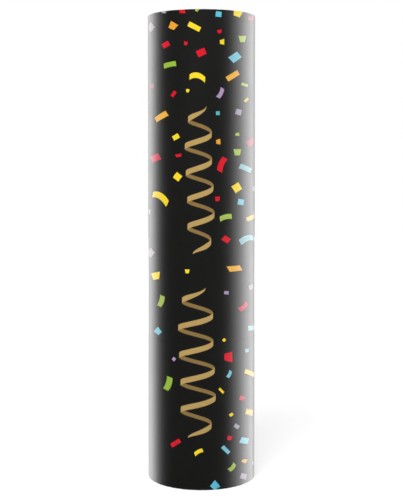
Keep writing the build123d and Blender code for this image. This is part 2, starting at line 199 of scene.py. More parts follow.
def wound_board():
    """Spirally wound grey board: matt and flecked, with a helical seam, and plies as rings at its ends."""
    material, tree, shader, place = new_material("wound_grey_board")
    flat = add(tree, "ShaderNodeVectorMath", {0: place, 1: (1.0, 1.0, 0.0)}, operation="MULTIPLY")
    radius = add(tree, "ShaderNodeVectorMath", {0: flat.outputs[0]}, operation="LENGTH")
    wave = add(tree, "ShaderNodeMath", {0: radius.outputs["Value"], 1: 2 * math.pi * grain(PLY)},
               operation="MULTIPLY")
    ply = add(tree, "ShaderNodeMath", {0: wave.outputs[0]}, operation="SINE")
    shade = add(tree, "ShaderNodeMapRange", {"Value": ply.outputs[0], "From Min": -1.0, "To Min": 0.74})
    fleck = add(tree, "ShaderNodeTexNoise", {"Vector": place, "Scale": grain(0.6), "Detail": 6.0})
    pulp = add(tree, "ShaderNodeMix", {FACTOR: fleck.outputs["Fac"], COLOUR_A: linear("#93866f"),
                                       COLOUR_B: linear("#c8bda8")}, data_type="RGBA")
    part = add(tree, "ShaderNodeSeparateXYZ", {"Vector": place})
    angle = add(tree, "ShaderNodeMath", {0: part.outputs["Y"], 1: part.outputs["X"]}, operation="ARCTAN2")
    round_share = add(tree, "ShaderNodeMath", {0: angle.outputs[0], 1: 2 * math.pi}, operation="DIVIDE")
    climb = add(tree, "ShaderNodeMath", {0: part.outputs["Z"], 1: grain(SEAM_RISE),
                                         2: round_share.outputs[0]},
                operation="MULTIPLY_ADD")
    turn = add(tree, "ShaderNodeMath", {0: climb.outputs[0]}, operation="FRACT")
    seam = add(tree, "ShaderNodeMapRange", {"Value": turn.outputs[0], "From Min": 0.004, "From Max": 0.008,
                                            "To Min": 0.55})
    marks = add(tree, "ShaderNodeMath", {0: shade.outputs[0], 1: seam.outputs[0]}, operation="MULTIPLY")
    board = add(tree, "ShaderNodeMix", {FACTOR: 1.0, COLOUR_A: pulp.outputs[MIXED],
                                        COLOUR_B: marks.outputs[0]},
                data_type="RGBA", blend_type="MULTIPLY")
    bump = add(tree, "ShaderNodeBump", {"Height": fleck.outputs["Fac"], "Strength": 0.3,
                                        "Distance": 0.05 * MM})
    feed(tree, shader, {"Base Color": board.outputs[MIXED], "Roughness": 0.9, "Normal": bump.outputs[0]})
    return material


def pressed_foil():
    """Aluminium foil pressed in a die: bright, finely crinkled, and duller where it was rubbed."""
    material, tree, shader, place = new_material("pressed_aluminium_foil")
    crinkle = add(tree, "ShaderNodeTexNoise", {"Vector": place, "Scale": grain(2.6), "Detail": 5.0,
                                               "Distortion": 1.2})
    rub = add(tree, "ShaderNodeTexNoise", {"Vector": place, "Scale": grain(7.0), "Detail": 3.0})
    tone = add(tree, "ShaderNodeMix", {FACTOR: rub.outputs["Fac"], COLOUR_A: linear("#96989c"),
                                       COLOUR_B: linear("#c3c4c6")}, data_type="RGBA")
    dull = add(tree, "ShaderNodeMapRange", {"Value": rub.outputs["Fac"], "From Min": 0.3, "From Max": 0.7,
                                            "To Min": 0.22, "To Max": 0.4})
    bump = add(tree, "ShaderNodeBump", {"Height": crinkle.outputs["Fac"], "Strength": 0.4,
                                        "Distance": 0.3 * MM})
    feed(tree, shader, {"Base Color": tone.outputs[MIXED], "Metallic": 1.0, "Roughness": dull.outputs[0],
                        "Normal": bump.outputs[0]})
    return material


def dyed_paper(ink):
    """Thin paper dyed in the pulp: matt, a little lighter or darker from slip to slip, and fibrous. The
    fibres are drawn coarser than they are, so that they show."""
    material, tree, shader, place = new_material(f"dyed_paper_{ink}")
    sheet = add(tree, "ShaderNodeAttribute", attribute_name="sheet").outputs["Fac"]
    shade = add(tree, "ShaderNodeMapRange", {"Value": sheet, "To Min": 0.68, "To Max": 1.04})
    fibre = add(tree, "ShaderNodeTexNoise", {"Vector": place, "Scale": grain(0.5), "Detail": 5.0})
    soft = add(tree, "ShaderNodeMapRange", {"Value": fibre.outputs["Fac"], "To Min": 0.88, "To Max": 1.08})
    both = add(tree, "ShaderNodeMath", {0: shade.outputs[0], 1: soft.outputs[0]}, operation="MULTIPLY")
    dyed = add(tree, "ShaderNodeMix", {FACTOR: 1.0, COLOUR_A: INKS[ink], COLOUR_B: both.outputs[0]},
               data_type="RGBA", blend_type="MULTIPLY")
    bump = add(tree, "ShaderNodeBump", {"Height": fibre.outputs["Fac"], "Strength": 0.2,
                                        "Distance": 0.03 * MM})
    feed(tree, shader, {"Base Color": dyed.outputs[MIXED], "Roughness": 0.85, "Normal": bump.outputs[0]})
    return material


# How much shinier and duller than its written roughness a moulded face gets
SHINIER = 0.08
DULLER = 0.12


def moulded_plastic(name, dark, light, roughness, grit_mm):
    """Injection-moulded plastic with a spark-eroded grit: satin, with faint flow shades and duller scuffs.
    The grit is drawn coarser than it is, so that it shows."""
    material, tree, shader, place = new_material(name)
    flow = add(tree, "ShaderNodeTexNoise", {"Vector": place, "Scale": grain(11.0), "Detail": 2.0})
    tone = add(tree, "ShaderNodeMix", {FACTOR: flow.outputs["Fac"], COLOUR_A: linear(dark),
                                       COLOUR_B: linear(light)}, data_type="RGBA")
    grit = add(tree, "ShaderNodeTexNoise", {"Vector": place, "Scale": grain(grit_mm), "Detail": 3.0})
    dull = add(tree, "ShaderNodeMapRange", {"Value": grit.outputs["Fac"], "To Min": roughness - SHINIER,
                                            "To Max": roughness + DULLER})
    bump = add(tree, "ShaderNodeBump", {"Height": grit.outputs["Fac"], "Strength": 0.25,
                                        "Distance": 0.05 * MM})
    feed(tree, shader, {"Base Color": tone.outputs[MIXED], "Roughness": dull.outputs[0],
                        "Normal": bump.outputs[0]})
    return material


def drawn_aluminium():
    """Deep-drawn aluminium: a soft metal shine with cloudy finger marks and lines along the draw. The lines
    are drawn coarser than they are, so that they show."""
    material, tree, shader, place = new_material("drawn_aluminium")
    along = add(tree, "ShaderNodeMapping", {"Vector": place, "Scale": (1.0, 1.0, 0.03)})
    lines = add(tree, "ShaderNodeTexNoise", {"Vector": along.outputs[0], "Scale": grain(0.35), "Detail": 3.0})
    cloud = add(tree, "ShaderNodeTexNoise", {"Vector": place, "Scale": grain(8.0), "Detail": 3.0})
    tone = add(tree, "ShaderNodeMix", {FACTOR: cloud.outputs["Fac"], COLOUR_A: linear("#d2d4d6"),
                                       COLOUR_B: linear("#e6e7e8")}, data_type="RGBA")
    dull = add(tree, "ShaderNodeMapRange", {"Value": cloud.outputs["Fac"], "To Min": 0.26, "To Max": 0.42})
    bump = add(tree, "ShaderNodeBump", {"Height": lines.outputs["Fac"], "Strength": 0.15,
                                        "Distance": 0.03 * MM})
    feed(tree, shader, {"Base Color": tone.outputs[MIXED], "Metallic": 1.0, "Roughness": dull.outputs[0],
                        "Normal": bump.outputs[0]})
    return material


def plated_steel():
    """Zinc-plated steel stampings: a grey metal shine that turns a little blue and yellow in patches."""
    material, tree, shader, place = new_material("zinc_plated_steel")
    patch = add(tree, "ShaderNodeTexNoise", {"Vector": place, "Scale": grain(3.0), "Detail": 3.0})
    tone = add(tree, "ShaderNodeMix", {FACTOR: patch.outputs["Fac"], COLOUR_A: linear("#aeb5be"),
                                       COLOUR_B: linear("#c6c1b0")}, data_type="RGBA")
    roll = add(tree, "ShaderNodeTexNoise", {"Vector": place, "Scale": grain(0.5), "Detail": 4.0})
    dull = add(tree, "ShaderNodeMapRange", {"Value": roll.outputs["Fac"], "To Min": 0.28, "To Max": 0.46})
    feed(tree, shader, {"Base Color": tone.outputs[MIXED], "Metallic": 1.0, "Roughness": dull.outputs[0]})
    return material


def nitrile_rubber():
    """Moulded nitrile rubber: nearly black and dull, with a grey bloom."""
    material, tree, shader, place = new_material("nitrile_rubber")
    bloom = add(tree, "ShaderNodeTexNoise", {"Vector": place, "Scale": grain(2.0), "Detail": 4.0})
    tone = add(tree, "ShaderNodeMix", {FACTOR: bloom.outputs["Fac"], COLOUR_A: linear("#171717"),
                                       COLOUR_B: linear("#34332f")}, data_type="RGBA")
    bump = add(tree, "ShaderNodeBump", {"Height": bloom.outputs["Fac"], "Strength": 0.15,
                                        "Distance": 0.05 * MM})
    feed(tree, shader, {"Base Color": tone.outputs[MIXED], "Roughness": 0.72, "Normal": bump.outputs[0]})
    return material


def pressed_card():
    """Pressed pulp card: buff and matt, with coarse flecks and a felted face."""
    material, tree, shader, place = new_material("pressed_card")
    felt = add(tree, "ShaderNodeTexNoise", {"Vector": place, "Scale": grain(0.9), "Detail": 6.0})
    tone = add(tree, "ShaderNodeMix", {FACTOR: felt.outputs["Fac"], COLOUR_A: linear("#9c8d74"),
                                       COLOUR_B: linear("#d0c3ab")}, data_type="RGBA")
    bump = add(tree, "ShaderNodeBump", {"Height": felt.outputs["Fac"], "Strength": 0.35,
                                        "Distance": 0.1 * MM})
    feed(tree, shader, {"Base Color": tone.outputs[MIXED], "Roughness": 0.92, "Normal": bump.outputs[0]})
    return material


FLUTES = 38.0


def corrugated_card():
    """Single-faced corrugated kraft card, rolled: brown and matt, with upright flutes, and
    painted shade in their valleys.
    """
    material, tree, shader, place = new_material("corrugated_kraft_card")
    part = add(tree, "ShaderNodeSeparateXYZ", {"Vector": place})
    angle = add(tree, "ShaderNodeMath", {0: part.outputs["Y"], 1: part.outputs["X"]}, operation="ARCTAN2")
    count = add(tree, "ShaderNodeMath", {0: angle.outputs[0], 1: FLUTES}, operation="MULTIPLY")
    flute = add(tree, "ShaderNodeMath", {0: count.outputs[0]}, operation="SINE")
    # Painted shade: the flutes' sine darkens the colour to 0.6 in each valley, in step with the bump.
    flute_valley_painted_shade = add(tree, "ShaderNodeMapRange", {"Value": flute.outputs[0], "From Min": -1.0, "To Min": 0.6})
    fibre = add(tree, "ShaderNodeTexNoise", {"Vector": place, "Scale": grain(0.7), "Detail": 5.0})
    kraft = add(tree, "ShaderNodeMix", {FACTOR: fibre.outputs["Fac"], COLOUR_A: linear("#86694a"),
                                        COLOUR_B: linear("#b69a78")}, data_type="RGBA")
    card = add(tree, "ShaderNodeMix", {FACTOR: 1.0, COLOUR_A: kraft.outputs[MIXED],
                                       COLOUR_B: flute_valley_painted_shade.outputs[0]},
               data_type="RGBA", blend_type="MULTIPLY")
    bump = add(tree, "ShaderNodeBump", {"Height": flute.outputs[0], "Strength": 0.6, "Distance": 0.4 * MM})
    feed(tree, shader, {"Base Color": card.outputs[MIXED], "Roughness": 0.92, "Normal": bump.outputs[0]})
    return material


BOARD = wound_board()
ALUMINIUM = drawn_aluminium()
STEEL = plated_steel()
RUBBER = nitrile_rubber()
CARD = pressed_card()
BLACK_PP = moulded_plastic("moulded_black_polypropylene", "#161617", "#222223", 0.48, 0.35)
WHITE_PP = moulded_plastic("moulded_natural_polypropylene", "#d2d2cd", "#dfdfdb", 0.42, 0.6)
NYLON = moulded_plastic("moulded_grey_nylon", "#2b2b2f", "#37373b", 0.5, 0.5)
FINISHES = {
    "barrel_tube": BOARD, "grip_tube": BOARD, "inner_sleeve": BOARD, "base_cap": BLACK_PP,
    "air_bottle": ALUMINIUM, "packing_ring": corrugated_card(), "neck_collar": NYLON, "lever_pin": STEEL,
    "latch_lever": STEEL, "stopper": RUBBER, "seal_ring": RUBBER, "valve_housing": WHITE_PP,
    "retaining_ring": WHITE_PP, "wad_cup": CARD, "wad_disc": CARD,
}
for finished_node, finish in FINISHES.items():
    for material_slot in NODES[finished_node].material_slots:
        material_slot.material = finish


# Print: pieces of paper confetti in flat inks, and two streamers down the viewer's side

PRINT_RADIUS = OUTER_RADIUS / MM
# The eye's place, which the camera takes. The pieces are drawn as they look from there, and past the widest
# angle, in degrees, they aren't widened further.
EYE_DISTANCE = 0.454
EYE_HEIGHT = 0.136
WIDEST_VIEW = 60.0
# Narrow side of a wedge and slant of a leaning piece, as shares of the length
WEDGE_SHARE = 0.62
LEAN_SHARE = 0.18
# Corners of a kite, as shares of half its length and half its width
KITE_CORNERS = [(-1, -0.44), (0.04, -1), (1, 0), (-0.36, 1)]
# Rise of a bowed piece's middle and climb of its far end, as shares of half its length
BOWS = {"bow": (0.39, -0.12), "bow_low": (0.18, 0.1), "bow_slight": (0.07, 0.06)}
BOW_STEPS = 10

# Angle round the tube in degrees, height, length and width in millimetres, turn in degrees, shape and ink
CONFETTI = [
    (-43, 200, 1.9, 1.7, 0, "lean", "lilac_painted_sheen"),
    (-20.2, 199.5, 2.3, 2, 0, "lean", "red"),
    (-4.5, 199.9, 1.9, 1.8, -15, "wedge", "green"),
    (17.7, 198, 2.4, 2.2, -5, "bar", "blue"),
    (41, 199.4, 4.4, 3.4, -20, "wedge", "yellow"),
    (66.3, 198.1, 3.1, 1.5, 0, "bar", "red_painted_shade"),
    (-68.5, 194.5, 3.3, 3.1, 45, "bar", "lilac_painted_sheen_and_shade"),
    (-30.3, 193.7, 4.3, 3.8, 3, "kite", "orange"),
    (-7.4, 192.8, 5.4, 2.1, -27, "bar", "yellow"),
    (18.7, 190.9, 2, 1.4, 10, "wedge", "red"),
    (-39.9, 186, 3.1, 2.1, 29, "bar", "red"),
    (-16.3, 186, 1.7, 1.5, -10, "wedge", "red"),
    (21.5, 186.7, 2.4, 1.8, -89, "wedge", "yellow"),
    (47.9, 188.6, 3.4, 2.6, -1, "wedge", "green_painted_sheen"),
    (-0.2, 182.2, 3.7, 2.7, 24, "bar", "red"),
    (37.3, 180.7, 3.2, 4.3, 132, "lean_back", "blue_painted_sheen"),
    (-34.9, 177.6, 5.3, 2.1, 9, "bow_slight", "green"),
    (-4.1, 172.4, 6.5, 2.3, -4, "bow", "yellow"),
    (34.3, 173, 5.7, 2.2, 31, "bar", "orange_painted_sheen"),
    (51.8, 169.6, 3, 1.1, -16, "bar", "green_painted_sheen"),
    (-65.8, 169.5, 1.9, 1.8, 0, "bar", "red_painted_shade"),
    (-29.9, 165.4, 2.5, 1.4, 55, "bar", "red"),
    (-14.2, 166.5, 1.4, 1.4, -8, "wedge", "yellow"),
    (20, 165.6, 4.3, 1.7, -122, "bow_low", "lilac"),
    (54.7, 163.3, 2.2, 1, 41, "bar", "yellow_painted_sheen"),
    (42, 158, 2.5, 2.3, -15, "bar", "lilac_painted_sheen"),
    (17, 157.3, 1.6, 1.6, 3, "bar", "teal"),
    (-47.4, 156.2, 5.8, 2.3, 30, "bar", "orange_painted_sheen"),
    (-27.3, 147.5, 2.8, 2, 29, "bar", "yellow"),
    (40.2, 148.7, 1.5, 1.7, -83, "wedge", "green_painted_sheen"),
    (17.4, 145.5, 2.4, 1.8, -87, "wedge", "orange"),
    (66, 145.7, 4.2, 2.5, 24, "bar", "red_painted_shade"),
    (40.4, 141.2, 3.4, 2.6, -1, "wedge", "green_painted_sheen"),
    (-58.1, 138.8, 4.1, 2.8, 23, "bar", "red_painted_sheen_and_shade"),
    (-24.3, 139.8, 2.8, 1.2, 7, "wedge", "red"),
    (21.2, 136.2, 6, 2.4, 61, "bow_low", "red"),
    (54.7, 134.4, 5.6, 2.1, -23, "bar", "teal_painted_sheen"),
    (-25.4, 131, 2.9, 2.8, -37, "bar", "yellow"),
    (39.8, 126.4, 3.4, 3.3, 32, "bar", "yellow"),
    (75.5, 125.6, 2.1, 1.7, -90, "bar", "lilac_painted_sheen_and_shade"),
    (-49.3, 122.4, 7.8, 2.7, -23, "bow", "yellow"),
    (16.7, 122, 2.6, 2.4, 35, "kite", "red"),
    (45.6, 120.3, 2.6, 2.4, -9, "bar", "blue_painted_sheen"),
    (-75.8, 115.7, 2.2, 1.7, -90, "bar", "lilac_painted_sheen_and_shade"),
    (26, 114.2, 5.1, 2.1, 7, "bow_low", "green_painted_sheen"),
    (66.7, 113.4, 4.8, 1.8, 20, "bar", "yellow_painted_sheen"),
    (26.3, 104.9, 2.4, 3, 51, "lean", "red"),
    (60.2, 104.5, 7.2, 2.4, 20, "bow", "teal_painted_sheen"),
    (-70, 98.2, 3.4, 3.2, 45, "bar", "lilac_painted_sheen_and_shade"),
    (37.2, 92.5, 5.6, 2.3, 6, "lean", "orange_painted_sheen"),
    (-14.8, 91.7, 2.1, 1.6, 0, "wedge", "yellow"),
    (-57.6, 88.7, 4.2, 3, 9, "wedge", "yellow"),
    (66.6, 83.6, 2.5, 2, -160, "bar", "lilac_painted_sheen_and_shade"),
    (26.6, 82.6, 1.9, 1.4, -4, "bar", "lilac"),
    (-47.3, 78.4, 4.7, 2.2, -115, "bow_low", "green_painted_sheen"),
    (50.2, 75.9, 4.4, 1.9, -142, "bow_low", "red_painted_sheen_and_shade"),
    (69.9, 65.8, 4.4, 2.1, 4, "bar", "teal_painted_sheen"),
    (-52.9, 65.3, 3, 2.7, 45, "wedge", "blue_painted_sheen"),
    (24, 62.8, 1.3, 1.2, 45, "bar", "yellow"),
    (56.6, 56.9, 1.6, 1.5, 9, "bar", "teal_painted_sheen"),
    (29.1, 55.5, 4.5, 3.4, -89, "wedge", "red"),
    (-29.9, 54.6, 1.4, 1.4, 139, "bar", "lilac"),
    (66, 46.5, 5.7, 1.9, -16, "bar", "yellow_painted_sheen"),
    (30.3, 48.2, 3.1, 1.4, -121, "bow_low", "blue_painted_sheen"),
    (-37, 43.9, 5.6, 2.6, -115, "bow_low", "green"),
    (21, 41.6, 2.6, 1, -45, "bar", "yellow"),
    (47.9, 37.1, 3, 2.4, 10, "kite", "red_painted_sheen_and_shade"),
    (63.5, 29.8, 3.6, 2.4, -12, "bar", "yellow_painted_sheen"),
    (32.7, 31, 1.7, 1.2, 35, "bar", "yellow"),
    (39.8, 25.6, 2.2, 1.7, -32, "bar", "lilac_painted_sheen"),
    (30.8, 21.3, 2.7, 2.4, 20, "kite", "red"),
    (52.5, 18.5, 3.6, 2.6, -8, "lean_back", "blue_painted_sheen"),
    (-28, 19.2, 4.4, 1.8, 32, "bar", "red"),
    (26.1, 16.4, 4, 1.6, -44, "bar", "blue_painted_sheen"),
    (-3.1, 16.2, 3.8, 1.6, 23, "bow_low", "yellow"),
    (52.8, 9.7, 1.9, 3, -77, "kite", "orange_painted_sheen"),
    (34, 8.5, 3.8, 1.7, -136, "bow_low", "green_painted_sheen"),
    (73.7, 6.6, 1.3, 1.3, 0, "bar", "lilac_painted_sheen_and_shade"),
    (50.4, 3.4, 2.5, 2.4, -13, "bar", "lilac_painted_sheen"),
    (14.6, 1.9, 4.2, 4.1, -14, "kite", "blue"),
]

# Angle of the middle, lowest and highest point and reach to each side in millimetres, number of half turns
STREAMERS = [(-5, 22.0, 85.0, 7.4, 11), (-2, 99.0, 160.0, 5.6, 11)]
# Width in millimetres, narrower on the ribbon's far side and at its tips
STREAMER_WIDTH = 2.3
STREAMER_BACK_SHARE = 0.72
STREAMER_TIP_SHARE = 0.15
STREAMER_TAPER = 4.5
# The first and last half turns reach less far, and grow by a share with each half turn.
STREAMER_END_SHARE = 0.5
STREAMER_END_GROWTH = 0.3
STREAMER_SWAY = 0.6
STREAMER_SAG = 0.45
STREAMER_STEPS = 14

# The scatter on the back starts at this angle in degrees, with gaps in millimetres.
SCATTER_SEED = 11
SCATTER_COUNT = 96
SCATTER_TRIES = 400
SCATTER_FROM = 84.0
SCATTER_TURN = 90.0
SCATTER_GAP = 2.6


def confetti_outline(length, width, shape):
    """The corners of one piece of confetti about its middle, in millimetres."""
    x, y = length / 2, width / 2
    if shape == "wedge":
        return [(-x * WEDGE_SHARE, -y), (x * WEDGE_SHARE, -y), (x, y), (-x, y)]
    if shape in ("lean", "lean_back"):
        lean = length * LEAN_SHARE / (2 if shape == "lean" else -2)
        return [(-x + lean, -y), (x + lean, -y), (x - lean, y), (-x - lean, y)]
    if shape == "kite":
        return [(u * x, v * y) for u, v in KITE_CORNERS]
    if shape in BOWS:
        rise, climb = BOWS[shape]
        shares = [2 * step / BOW_STEPS - 1 for step in range(BOW_STEPS + 1)]
        line = [(x * share, x * (rise * (1 / 3 - share * share) + climb * share)) for share in shares]
        return [(u, v - y) for u, v in line] + [(u, v + y) for u, v in line[::-1]]
    return [(-x, -y), (x, -y), (x, y), (-x, y)]


def as_seen(angle, height):
    """How much a piece is widened, and climbs for each millimetre across, to keep its shape for the eye."""
    side = math.radians(max(-WIDEST_VIEW, min(WIDEST_VIEW, angle)))
    climb = (height * MM - EYE_HEIGHT) * math.sin(side) / (EYE_DISTANCE * math.cos(side) - OUTER_RADIUS)
    return 1 / math.cos(side), climb


def laid(outline, angle, height, turn, widen=1.0, climb=0.0):
    """An outline turned and laid on the flat sheet: millimetres along the tube's girth and up its height."""
    across = math.radians(angle) * PRINT_RADIUS
    cos_turn, sin_turn = math.cos(math.radians(turn)), math.sin(math.radians(turn))
    turned = [(x * cos_turn - y * sin_turn, x * sin_turn + y * cos_turn) for x, y in outline]
    return [(across + widen * x, height + y + climb * x) for x, y in turned]


def streamer(angle, low, high, widest, half_turns):
    """A curled ribbon as bands from side to side, its near side in gold and its far side in a deeper gold."""
    across = math.radians(angle) * PRINT_RADIUS
    ends = []
    for number in range(half_turns + 1):
        from_end = min(number, half_turns - number)
        reach = widest * min(1.0, STREAMER_END_SHARE + STREAMER_END_GROWTH * from_end)
        sway = STREAMER_SWAY * math.sin(2 * math.pi * number / half_turns)
        ends.append(across + sway + (reach if number % 2 else -reach))
    bands = []
    for number in range(half_turns):
        near = number % 2 == 0
        upper, lower = [], []
        for step in range(STREAMER_STEPS + 1):
            share = step / STREAMER_STEPS
            along = (number + share) / half_turns
            taper = min(1.0, STREAMER_TIP_SHARE + STREAMER_TAPER * math.sin(math.pi * along))
            half = STREAMER_WIDTH / 2 * taper * (1.0 if near else STREAMER_BACK_SHARE)
            x = ends[number] + (ends[number + 1] - ends[number]) * (0.5 - 0.5 * math.cos(math.pi * share))
            z = low + (high - low) * along + (-1 if near else 1) * STREAMER_SAG * math.sin(math.pi * share)
            upper.append((x, z + half))
            lower.append((x, z - half))
        bands.append((lower + upper[::-1], "gold" if near else "deep_gold"))
    return sorted(bands, key=lambda band: band[1])


def print_layout():
    """Every printed outline on the flat sheet with its ink, the viewer's side first."""
    layout = []
    taken = []
    for angle, height, length, width, turn, shape, ink in CONFETTI:
        outline = confetti_outline(length, width, shape)
        layout.append((laid(outline, angle, height, turn, *as_seen(angle, height)), ink))
        taken.append((math.radians(angle) * PRINT_RADIUS, height, length / 2))
    for ribbon in STREAMERS:
        layout += streamer(*ribbon)
    draw = random.Random(SCATTER_SEED)
    girth = 2 * math.pi * PRINT_RADIUS
    # The back takes more pieces like the listed ones, side tints with their painted sheen and shade included.
    chosen = CONFETTI + draw.sample(CONFETTI, SCATTER_COUNT - len(CONFETTI))
    for _, _, length, width, _, shape, ink in sorted(chosen, key=lambda row: -row[2]):
        for _ in range(SCATTER_TRIES):
            angle = draw.uniform(SCATTER_FROM, 360 - SCATTER_FROM)
            height = draw.uniform(0, TUBE_TOP / MM)
            across = math.radians(angle) * PRINT_RADIUS
            if all(math.hypot((across - u + girth / 2) % girth - girth / 2, height - v)
                   > length / 2 + reach + SCATTER_GAP for u, v, reach in taken):
                taken.append((across, height, length / 2))
                outline = confetti_outline(length, width, shape)
                turn = draw.uniform(-SCATTER_TURN, SCATTER_TURN)
                layout.append((laid(outline, angle, height, turn), ink))
                break
    return layout


def anticlockwise(outline):
    """The outline with its corners in anticlockwise order, as the cutter takes them."""
    following = outline[1:] + outline[:1]
    area = sum(a[0] * b[1] - b[0] * a[1] for a, b in zip(outline, following))
    return outline if area > 0 else outline[::-1]


LAYOUT = print_layout()
# A wrap's finishes, and their places in its slots
WRAP = [film_print(), paper_edge(), inked_edge()]
FILM, PAPER, INKED_EDGE = range(3)
SHEET_COLUMNS = 144
# Height of the rubbed band at a rim, in millimetres
RIM_BAND = 0.5
# The cutter's output, triangles over the whole sheet, and how near two points are one, in millimetres
TRIANGLES = 0
CUT_TOLERANCE = 1e-5
# A face this near the twist joint that lies this level is an inked edge.
JOINT_REACH = 0.05 * MM
LEVEL = 0.9


def cut_sheet(low, high):
    """The flat sheet between two heights, cut along every printed edge: its corners, and faces with inks."""
    half = math.pi * PRINT_RADIUS - SEAM_GAP / MM / 2
    girth = 2 * math.pi * PRINT_RADIUS
    points = [(-half, low), (half, low), (half, high), (-half, high)]
    lines = []
    outlines = [[0, 1, 2, 3]]
    inks = ["black"]
    for column in range(1, SHEET_COLUMNS):
        across = half * (2 * column / SHEET_COLUMNS - 1)
        lines.append((len(points), len(points) + 1))
        points += [(across, low), (across, high)]
    for height in (low + RIM_BAND, high - RIM_BAND):
        lines.append((len(points), len(points) + 1))
        points += [(-half, height), (half, height)]
    for outline, ink in LAYOUT:
        outline = anticlockwise(outline)
        for shift in (-girth, 0, girth):
            moved = [(u + shift, v) for u, v in outline]
            if max(v for _, v in moved) < low or min(v for _, v in moved) > high:
                continue
            if max(u for u, _ in moved) < -half or min(u for u, _ in moved) > half:
                continue
            outlines.append(list(range(len(points), len(points) + len(moved))))
            points += moved
            inks.append(ink)
    corners = [Vector(point) for point in points]
    flat, _, faces, _, _, owners = delaunay_2d_cdt(corners, lines, outlines, TRIANGLES, CUT_TOLERANCE)
    # Of the outlines that hold a face, the last is printed over the others.
    return flat, [(face, inks[max(owner)]) for face, owner in zip(faces, owners) if 0 in owner]


# A map of this name lays each wrap out flat. A wrap's printed face, unrolled, takes nearly all of it, and
# the paper's edges and back get narrow strips. In shares of the map.
BAKE_MAP = "OFBake"
MAP_SIDE = 0.008
MAP_PRINT = 0.94
MAP_BACK = 0.03
MAP_EDGE = 0.004
# A face is the print or the back where its normal leans out or in by this much.
FACING = 0.5


def map_place(at, normal, low, high):
    """Where a corner of one of a wrap's faces lies on the bake's map."""
    radius = math.hypot(at.x, at.y)
    turn = math.atan2(at.x, -at.y) / (2 * math.pi)
    rise = (at.z - low) / (high - low)
    outward = max(0.0, min(1.0, (radius - TUBE_RADIUS) / PAPER_THICKNESS))
    across = 0.5 + (1 - 2 * MAP_SIDE) * turn
    if normal.z > LEVEL:
        return across, MAP_PRINT + MAP_EDGE * (2 - outward)
    if normal.z < -LEVEL:
        return across, 1 - MAP_EDGE * (2 - outward)
    facing = (normal.x * at.x + normal.y * at.y) / radius
    if facing > FACING:
        return across, MAP_PRINT * rise
    if facing < -FACING:
        return across, MAP_PRINT + 3 * MAP_EDGE + MAP_BACK * (1 - rise)
    return (MAP_EDGE * outward if turn < 0 else 1 - MAP_EDGE * outward), MAP_PRINT * rise


def printed_sheet(name, joint_end, rubbed_end):
    """The wrap from its end at the twist joint to its rubbed end: a cut sheet, rolled, and given its
    thickness. No operator cuts a sheet along outlines, so its mesh starts from the cutter's faces."""
    low, high = sorted((joint_end, rubbed_end))
    flat, printed = cut_sheet(low / MM, high / MM)
    rolled = []
    for u, v in flat:
        angle = u / PRINT_RADIUS
        rolled.append((OUTER_RADIUS * math.sin(angle), -OUTER_RADIUS * math.cos(angle), v * MM))
    mesh = bpy.data.meshes.new(name)
    mesh.from_pydata(rolled, [], [face for face, _ in printed])
    inked = mesh.color_attributes.new("ink", "FLOAT_COLOR", "CORNER")
    for polygon, (_, ink) in zip(mesh.polygons, printed):
        for loop in polygon.loop_indices:
            inked.data[loop].color = INKS[ink]
    rim = mesh.attributes.new("rim", "FLOAT", "POINT")
    for vertex, (_, v) in zip(mesh.vertices, flat):
        rim.data[vertex.index].value = max(0.0, 1 - abs(v - rubbed_end / MM) / RIM_BAND)
    sheet = bpy.data.objects.new(name, mesh)
    bpy.context.collection.objects.link(sheet)
    for wrap_finish in WRAP:
        mesh.materials.append(wrap_finish)
    alone(sheet)
    bpy.ops.object.mode_set(mode="EDIT")
    bpy.ops.mesh.select_all(action="SELECT")
    bpy.ops.mesh.delete_loose()
    bpy.ops.object.mode_set(mode="OBJECT")
    wall = sheet.modifiers.new("paper", "SOLIDIFY")
    wall.thickness = PAPER_THICKNESS
    wall.offset = -1
    wall.material_offset = PAPER
    wall.material_offset_rim = PAPER
    bpy.ops.object.modifier_apply(modifier="paper")
    normals = []
    mesh = sheet.data
    bake_map = mesh.uv_layers.new(name=BAKE_MAP)
    for polygon in mesh.polygons:
        outside = polygon.material_index == FILM
        if abs(polygon.center.z - joint_end) < JOINT_REACH and abs(polygon.normal.z) > LEVEL:
            polygon.material_index = INKED_EDGE
        for loop in polygon.loop_indices:
            at = mesh.vertices[mesh.loops[loop].vertex_index].co
            radial = Vector((at.x, at.y, 0)).normalized()
            normals.append(radial if outside else polygon.normal)
            bake_map.uv[loop].vector = map_place(at, polygon.normal, low, high)
    bpy.ops.object.shade_smooth()
    mesh.normals_split_custom_set(normals)
    return sheet


barrel_print = printed_sheet("barrel_print", GRIP_TOP + JOINT_LINE, TUBE_TOP)
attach(barrel_print, "barrel")
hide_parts("barrel_wrap")
grip_print = printed_sheet("grip_print", GRIP_TOP, GRIP_LOW)
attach(grip_print, "base")
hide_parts("grip_wrap")


# Muzzle cover: a pleated cup of foil, pressed into the mouth with its floor down

# The foil's floor stays this far above the CAD cover's lowest point, which leaves room for its crumples.
COVER_LIFT = 0.8 * MM
COVER_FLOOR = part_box("muzzle_cover")[0].z + COVER_LIFT
COVER_COLUMNS = 96
COVER_RADIUS = 20.0 * MM
COVER_WALL = 20.4 * MM
# Radius and rise above the floor, in millimetres, from the rim of the floor to its middle
COVER_RINGS = [(18.6, 0.0), (14.6, 0.0), (14.2, 0.0), (13.7, 0.36), (13.0, 0.5), (12.3, 0.36), (11.8, 0.0),
               (11.4, 0.0), (8.4, 0.0), (5.4, 0.0), (2.4, 0.0), (0.8, 0.0)]
# Radius and rise of the wall, from the floor's rim up
COVER_STEPS = [(20.28, 0.12), (20.4, 0.4), (20.4, 1.2), (20.4, 3.4), (20.4, 5.6), (20.4, 6.0)]
COVER_SMOOTH = math.radians(40)
FOIL_THICKNESS = 0.3 * MM
# Every so many columns the wall is pleated, from this far above the floor.
PLEAT_COLUMNS = 4
PLEAT_DEPTH = 0.45 * MM
PLEAT_START = 1.0 * MM
CRUMPLE_SIZE = 5.0 * MM
CRUMPLE_HEIGHT = 0.35 * MM
CRUMPLE_LEVEL = 0.6
CRUMPLE_DETAIL = 2


